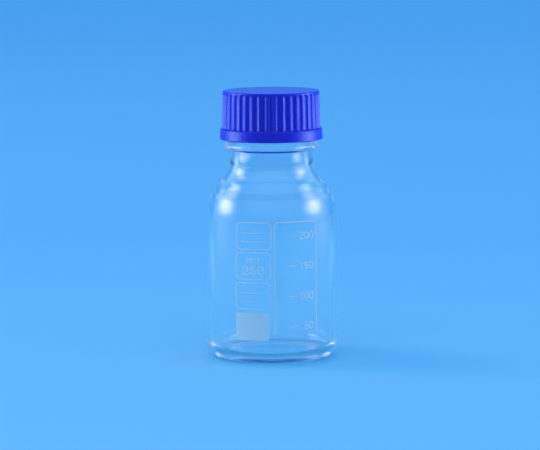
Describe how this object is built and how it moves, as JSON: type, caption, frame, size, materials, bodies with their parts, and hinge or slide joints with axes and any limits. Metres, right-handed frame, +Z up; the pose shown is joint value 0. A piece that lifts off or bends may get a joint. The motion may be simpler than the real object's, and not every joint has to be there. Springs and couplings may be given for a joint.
{
  "type": "reagent bottle",
  "caption": "Clear glass laboratory bottle with a rounded shoulder, beaded neck and white enamel volume scale, closed by a fluted blue screw cap over a pouring ring and seal disc.",
  "frame": {"origin": "centre of the foot, on the table", "axes": "+Z up along the axis of the bottle, towards the cap; the printed face looks along -Y; +X to the right of someone reading the scale"},
  "size_m": [0.07, 0.0701, 0.142],
  "materials": {
    "clear_glass": "clear borosilicate glass, polished by the flame",
    "ring_plastic": "blue polypropylene, smooth",
    "seal_rubber": "blue silicone, matt",
    "cap_plastic": "blue polypropylene, satin",
    "white_enamel": "white fired enamel, satin"
  },
  "bodies": {
    "bottle": {"glass_bottle": "clear_glass", "pouring_ring": "ring_plastic", "upper_panel_print": "white_enamel", "capacity_panel_print": "white_enamel", "lower_panel_print": "white_enamel", "marking_field_print": "white_enamel", "scale_frame_print": "white_enamel", "graduation_print": "white_enamel"},
    "seal": {"seal_disc": "seal_rubber"},
    "cap": {"screw_cap": "cap_plastic"}
  },
  "joints": [
    {"name": "cap_lift", "type": "slide", "parent": "bottle", "child": "seal", "axis": [0, 0, 1], "range_m": [0, 0.0281]},
    {"name": "cap_turn", "type": "hinge", "parent": "seal", "child": "cap", "pos_m": [0, 0, 0.129], "axis": [0, 0, 1], "range_deg": [0, 2520]}
  ],
  "couplings": [
    {"joint": "cap_lift", "follows": "cap_turn", "m_per_rad": 0.00063662}
  ]
}
